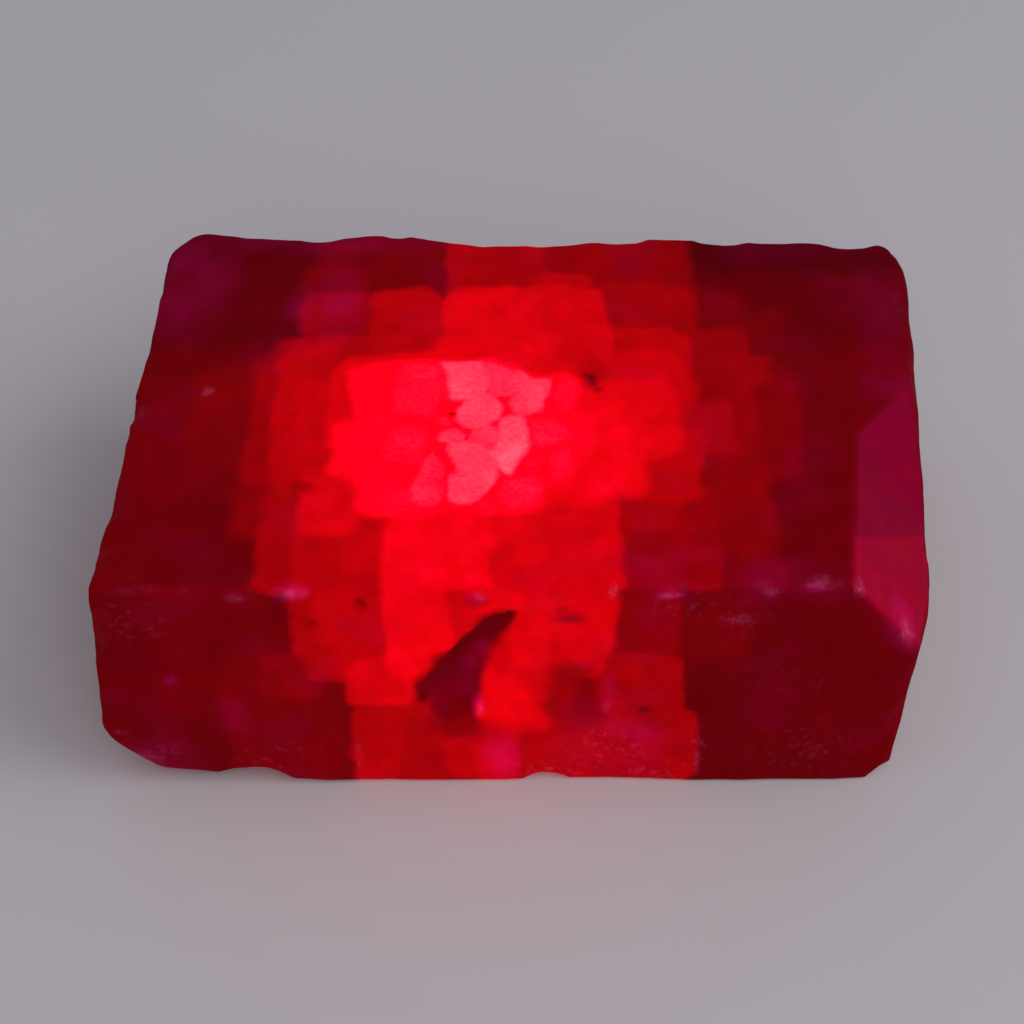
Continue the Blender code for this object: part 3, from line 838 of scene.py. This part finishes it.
def lattice_cells(points, size, border, seed):
    """One centre in each cube of a grid, moved at random inside it. Gives the tone of the
    nearest, from -1 to 1, softened at the borders, and how near a border is."""
    dice = np.random.default_rng(seed)
    margin = 3  # cubes round the block
    place = (points - LOW) / size + margin
    counts = np.ceil(place.max(0)).astype(int) + margin
    centres = dice.uniform(size=(*counts, 3))
    tones = dice.uniform(-1, 1, counts)
    cube = np.floor(place).astype(int)
    ways, near_tones = [], []
    for step in itertools.product((-1, 0, 1), repeat=3):
        index = tuple((cube + step).T)
        ways.append(np.linalg.norm(centres[index] + cube + step - place, axis=1) * size)
        near_tones.append(tones[index])
    least, second = nearest_two(ways)
    seam = np.exp(-(((second - least) / (3 * border)) ** 2))
    return shared_tone(ways, near_tones, least, border), seam


def soften(values, quads, rounds):
    """Evens the points' values out over the skin: each round, every quad takes the mean
    of its corners, and every point the mean of its quads."""
    corners = np.bincount(quads.ravel(), minlength=len(values))
    for _ in range(rounds):
        mean = np.repeat(values[quads].mean(1), 4)
        values = np.bincount(quads.ravel(), mean, len(values)) / corners
    return values


def stone_glow(points, quads, masks, broad, seed):
    """The painted inner glow with the broad bevel's own painted light, varied by small cells and
    reliefs, and darkened in the specks and, as painted shade, in the gouge."""
    glow = inner_glow(points, seed)
    lean, step_at = SHOULDER_STEP
    before = smooth_step(step_at - points @ np.array(lean), -0.2, 0.2)
    behind_glow, before_glow = SHOULDER_GLOW
    glow += (behind_glow + (before_glow - behind_glow) * before - glow) * broad
    cells = bend(points, seed, CELL_BEND)
    tone, seam = lattice_cells(cells, CELL_SIZE, CELL_BORDER, seed)
    glow *= 1 + CELL_TONE * tone - CELL_SEAM * seam + fine_relief(points, seed, BROAD_TONE)
    glow *= 1 + fine_relief(points, seed, FINE_TONE) * (glow < BRIGHT_GLOW)
    # Painted shade on the gouge's floor.
    floor = GOUGE_PAINTED_SHADE * soften(masks["gouged"], quads, 4)
    dark = np.maximum(np.clip(spots(points, SPECKS), 0, 1), floor)
    return glow + (DARK_GLOW - glow) * np.clip(1.1 * dark, 0, 1)


def paint(points, quads, masks, seed):
    """Painted glow, haze with painted sheen, crushed stone and painted sparkle: shares of every
    point, for the finish to read.
    """
    broad = soften(masks["broad"], quads, 1)
    glow = stone_glow(points, quads, masks, broad, seed)
    patches = spots(points, HAZE_AND_SHEEN) * (1 + fine_relief(points, seed, HAZE_SHEEN_PATCHES))
    haze_and_sheen = np.maximum(patches, SHOULDER_SHEEN * broad)
    haze_and_sheen += SHEEN_VEIL_SHARE * np.clip(fine_relief(points, seed, HAZE_SHEEN_VEIL) - 0.2, 0, 1)
    grainy = 1 + fine_relief(points, seed, CRUSH_GRAIN)
    worn = WORN_SHARE * masks["chipped"] * masks["edge"] * np.clip(grainy - 0.9, 0, 1)
    worn = soften(worn * (glow < DULL_GLOW), quads, 1)
    crushed = np.maximum(spots(points, CRUSHED) * grainy, worn)
    return {
        "glow": glow,
        "haze_and_sheen": np.clip(haze_and_sheen, 0, None),
        "crushed": np.clip(crushed, 0, 1),
        "painted_sparkle": spots(points, PAINTED_SPARKLES),
    }


def new_piece(name, points, quads, paints):
    """A shaded-smooth mesh in metres, with a point attribute for each paint."""
    mesh = bpy.data.meshes.new(name)
    mesh.vertices.add(len(points))
    mesh.vertices.foreach_set("co", (points * MM).ravel())
    mesh.loops.add(quads.size)
    mesh.loops.foreach_set("vertex_index", quads.ravel())
    mesh.polygons.add(len(quads))
    mesh.polygons.foreach_set("loop_start", np.arange(0, quads.size, 4))
    mesh.update(calc_edges=True)
    mesh.validate()
    mesh.shade_smooth()
    for paint_name, values in paints.items():
        layer = mesh.attributes.new(paint_name, "FLOAT", "POINT")
        layer.data.foreach_set("value", values.astype(np.float32))
    piece = bpy.data.objects.new(name, mesh)
    bpy.context.scene.collection.objects.link(piece)
    return piece


class Board:
    """Short calls that add nodes to one tree, each giving the socket it ends in."""

    def __init__(self, tree):
        self.tree = tree

    def add(self, kind, **settings):
        node = self.tree.nodes.new(kind)
        for name, value in settings.items():
            setattr(node, name, value)
        return node

    def feed(self, socket, value):
        if isinstance(value, bpy.types.NodeSocket):
            self.tree.links.new(value, socket)
        else:
            socket.default_value = value

    def math(self, operation, a, b, clamp=False):
        node = self.add("ShaderNodeMath", operation=operation, use_clamp=clamp)
        self.feed(node.inputs[0], a)
        self.feed(node.inputs[1], b)
        return node.outputs[0]

    def vector(self, operation, a, b):
        """A calculation with vectors, of which SCALE takes a number as its second."""
        node = self.add("ShaderNodeVectorMath", operation=operation)
        self.feed(node.inputs[0], a)
        self.feed(node.inputs["Scale" if operation == "SCALE" else 1], b)
        return node.outputs[0]

    def span(self, value, low, high, to_low, to_high):
        """Smooth step from one range to another."""
        node = self.add("ShaderNodeMapRange", interpolation_type="SMOOTHSTEP")
        for socket, limit in zip(node.inputs, (value, low, high, to_low, to_high)):
            self.feed(socket, limit)
        return node.outputs[0]

    def noise(self, place, size, detail, roughness):
        node = self.add("ShaderNodeTexNoise")
        names = "Vector", "Scale", "Detail", "Roughness"
        for name, value in zip(names, (place, 1 / size, detail, roughness)):
            self.feed(node.inputs[name], value)
        return node.outputs["Fac"]

    def ramp(self, value, stops):
        node = self.add("ShaderNodeValToRGB")
        self.feed(node.inputs[0], value)
        line = node.color_ramp.elements
        while len(line) < len(stops):
            line.new(0.5)
        for element, (place, colour) in zip(line, stops):
            element.position = place
            element.color = (*colour, 1)
        return node.outputs[0]

    def blend(self, share, a, b):
        node = self.add("ShaderNodeMix", data_type="RGBA", clamp_factor=True)
        self.feed(node.inputs[0], share)
        self.feed(node.inputs[6], a)
        self.feed(node.inputs[7], b)
        return node.outputs[2]

    def mask(self, name):
        return self.add("ShaderNodeAttribute", attribute_name=name).outputs["Fac"]


def ruby_finish(settings):
    """Crimson crystal, part clear and part milky. The light inside comes up through it as
    the points' own glow, from dark red over red to pale pink where it is hottest. This glow is
    painted light, an emission in place of the lamp below."""
    material = bpy.data.materials.new("ruby")
    material.use_nodes = True
    # Sampled as a lamp, the glow looks the same but takes twice as long.
    material.cycles.emission_sampling = "NONE"
    board = Board(material.node_tree)
    shader = material.node_tree.nodes["Principled BSDF"]
    result = material.node_tree.nodes["Material Output"]
    here = board.vector("SCALE", board.add("ShaderNodeTexCoord").outputs["Object"], 1 / MM)
    sugar = board.noise(here, 0.32, 2, 0.6)
    grit = board.noise(here, 0.5, 3, 0.65)

    level = board.math("MULTIPLY", board.mask("glow"), board.span(sugar, 0.25, 0.75, 0.95, 1.045))
    light = board.ramp(board.math("MULTIPLY", level, 0.5, clamp=True), GLOW_COLOURS)
    # The violet haze turns the body purple and adds painted sheen to the light.
    haze_and_sheen = board.mask("haze_and_sheen")
    light = board.vector("ADD", light, board.vector("SCALE", SHEEN_LIGHT_COLOUR, haze_and_sheen))
    body, purple = (*settings.body_colour, 1), (*settings.haze_sheen_colour, 1)
    body = board.blend(board.math("MULTIPLY", haze_and_sheen, 0.6), body, purple)
    pale = board.math("MULTIPLY", board.mask("crushed"), board.span(grit, 0.4, 0.62, 0.25, 1.0))
    # Painted sparkle: fine pale glints blended into the body colour.
    sparkle_glints = board.math("MULTIPLY", board.mask("painted_sparkle"), board.span(grit, 0.5, 0.72, 0.0, 0.24))
    pale = board.math("MAXIMUM", pale, sparkle_glints)
    body = board.blend(pale, body, (*settings.frost_and_glint_colour, 1))

    bump = board.add("ShaderNodeBump")
    bump.inputs["Strength"].default_value = 0.3
    bump.inputs["Distance"].default_value = 0.08 * MM
    board.feed(bump.inputs["Height"], board.math("ADD", grit, board.math("MULTIPLY", sugar, 0.4)))

    board.feed(shader.inputs["Base Color"], body)
    board.feed(shader.inputs["Roughness"], board.span(grit, 0.3, 0.7, 0.46, 0.6))
    board.feed(shader.inputs["Normal"], bump.outputs[0])
    board.feed(shader.inputs["Emission Color"], light)
    shader.inputs["Emission Strength"].default_value = settings.glow_strength
    shader.inputs["Transmission Weight"].default_value = 0.12
    shader.inputs["IOR"].default_value = 1.76
    shader.inputs["Specular IOR Level"].default_value = 0.0
    shader.inputs["Specular Tint"].default_value = (1.0, 0.03, 0.2, 1)

    inside = board.add("ShaderNodeVolumeAbsorption")
    inside.inputs["Color"].default_value = (*settings.clear_colour, 1)
    inside.inputs["Density"].default_value = settings.clear_density
    material.node_tree.links.new(inside.outputs[0], result.inputs["Volume"])
    return material


def plain_finish(name, colour, roughness):
    """One even colour and roughness."""
    material = bpy.data.materials.new(name)
    material.use_nodes = True
    shader = material.node_tree.nodes["Principled BSDF"]
    shader.inputs["Base Color"].default_value = (*colour, 1)
    shader.inputs["Roughness"].default_value = roughness
    shader.inputs["Specular IOR Level"].default_value = 0.2
    return material


def add_lamp(name, place, target, energy, size):
    """A round soft lamp at a place in metres, turned to a target."""
    light = bpy.data.lights.new(name, "AREA")
    light.shape = "DISK"
    light.energy, light.size = energy, size
    lamp = bpy.data.objects.new(name, light)
    lamp.location = place
    lamp.rotation_euler = (Vector(target) - Vector(place)).to_track_quat("-Z", "Y").to_euler()
    bpy.context.scene.collection.objects.link(lamp)


def tint_setting(name, about, start):
    """A colour on the panel."""
    return bpy.props.FloatVectorProperty(
        name=name, description=about, subtype="COLOR", default=start, min=0, max=1
    )


class RubyBlockSettings(bpy.types.PropertyGroup):
    """Sizes and colours of the stone."""

    grid_step: bpy.props.FloatProperty(
        name="Grid step", description="Spacing of the surface's points",
        default=0.255 * MM, min=0.1 * MM, unit="LENGTH", precision=5,
    )
    edge_wear: bpy.props.FloatProperty(
        name="Edge wear", description="Depth that the edges are worn down by",
        default=0.2 * MM, min=0, unit="LENGTH", precision=5,
    )
    chip_seed: bpy.props.IntProperty(
        name="Chip seed", description="Changes where the edge chips fall", default=14,
    )
    body_colour: tint_setting(
        "Body colour", "Crimson of the milky part of the stone", (0.1, 0.0002, 0.002)
    )
    # Purple of the haze, in part painted sheen.
    haze_sheen_colour: tint_setting("Haze colour", "Purple of the hazy patches", (0.14, 0.001, 0.03))
    # Also the colour of the painted sparkle of fine pale glints.
    frost_and_glint_colour: tint_setting(
        "Frost colour", "Pale tint of worn edges and fresh chips", (0.55, 0.11, 0.3)
    )
    clear_colour: tint_setting(
        "Clear colour", "Colour that light takes on inside the stone", (0.95, 0.02, 0.08)
    )
    clear_density: bpy.props.FloatProperty(
        name="Density", description="How fast the stone absorbs light, per metre",
        default=180.0, min=0,
    )
    # The glow is painted light, an emission in place of a lamp below the stone.
    glow_strength: bpy.props.FloatProperty(
        name="Glow", description="Strength of the light that comes up through the stone",
        default=1.0, min=0,
    )
    grain_seed: bpy.props.IntProperty(
        name="Grain seed", description="Changes the borders and the scattered grains", default=3,
    )


class RubyStageSettings(bpy.types.PropertyGroup):
    """Floor and light."""

    floor_colour: tint_setting(
        "Floor colour", "Pale grey of the surface under the stone", (0.56, 0.53, 0.555)
    )
    key_power: bpy.props.FloatProperty(
        name="Key power", description="Power of the large lamp at the right, in watts",
        default=1.4, min=0, unit="POWER",
    )


class RUBY_OT_block(bpy.types.Operator):
    """Build the ruby block with its chips, gouge, hollows and inner glow"""

    bl_idname = "ruby.block"
    bl_label = "Ruby block"

    def execute(self, context):
        settings = context.scene.ruby_block
        points, quads, masks = block_surface(
            settings.grid_step / MM, settings.edge_wear / MM, settings.chip_seed
        )
        paints = paint(points, quads, masks, settings.grain_seed)
        block = new_piece("raw_ruby", points, quads, paints)
        block.data.materials.append(ruby_finish(settings))
        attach(block, "root")
        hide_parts("ruby_crystal")
        return {"FINISHED"}


class RUBY_OT_stage(bpy.types.Operator):
    """Lay the floor and set up the lamps and the camera"""

    bl_idname = "ruby.stage"
    bl_label = "Stage"

    def execute(self, context):
        settings = context.scene.ruby_stage
        scene = context.scene
        mesh = bpy.data.meshes.new("floor")
        far = FLOOR_REACH
        mesh.from_pydata(
            [(-far, -far, 0), (far, -far, 0), (far, far, 0), (-far, far, 0)], [], [(0, 1, 2, 3)]
        )
        mesh.materials.append(plain_finish("pale_floor", settings.floor_colour, FLOOR_ROUGHNESS))
        floor = bpy.data.objects.new("floor", mesh)
        scene.collection.objects.link(floor)

        for name, (place, target, share, size) in LAMPS.items():
            add_lamp(name, place, target, settings.key_power * share, size)

        world = bpy.data.worlds.new("dim_room")
        world.use_nodes = True
        sky = world.node_tree.nodes["Background"]
        sky.inputs["Color"].default_value = ROOM_COLOUR
        sky.inputs["Strength"].default_value = ROOM_STRENGTH
        scene.world = world
        scene.view_settings.view_transform = "Standard"

        view = bpy.data.cameras.new("camera")
        view.sensor_width = SENSOR_WIDTH
        view.lens = FOCAL_PIXELS / PICTURE_PIXELS * SENSOR_WIDTH
        view.clip_start = CAMERA_NEAR
        camera = bpy.data.objects.new("camera", view)
        camera.location = CAMERA_PLACE
        camera.rotation_euler = (math.radians(90 - CAMERA_DOWN), 0, 0)
        scene.collection.objects.link(camera)
        scene.camera = camera
        return {"FINISHED"}


class RUBY_PT_sidebar(bpy.types.Panel):
    """Lists the pieces with their sizes and colours"""

    bl_idname = "RUBY_PT_sidebar"
    bl_label = "Raw Ruby"
    bl_space_type = "VIEW_3D"
    bl_region_type = "UI"
    bl_category = "Raw Ruby"

    def draw(self, context):
        for operator, group in (
            (RUBY_OT_block, context.scene.ruby_block),
            (RUBY_OT_stage, context.scene.ruby_stage),
        ):
            column = self.layout.column()
            column.operator(operator.bl_idname)
            for name in type(group).__annotations__:
                column.prop(group, name)


CLASSES = (
    RubyBlockSettings,
    RubyStageSettings,
    RUBY_OT_block,
    RUBY_OT_stage,
    RUBY_PT_sidebar,
)


def register():
    for cls in CLASSES:
        bpy.utils.register_class(cls)
    bpy.types.Scene.ruby_block = bpy.props.PointerProperty(type=RubyBlockSettings)
    bpy.types.Scene.ruby_stage = bpy.props.PointerProperty(type=RubyStageSettings)


def unregister():
    del bpy.types.Scene.ruby_stage
    del bpy.types.Scene.ruby_block
    for cls in reversed(CLASSES):
        bpy.utils.unregister_class(cls)


def main():
    register()
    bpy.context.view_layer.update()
    bpy.ops.ruby.block()
    bpy.ops.ruby.stage()


if __name__ == "__main__":
    main()
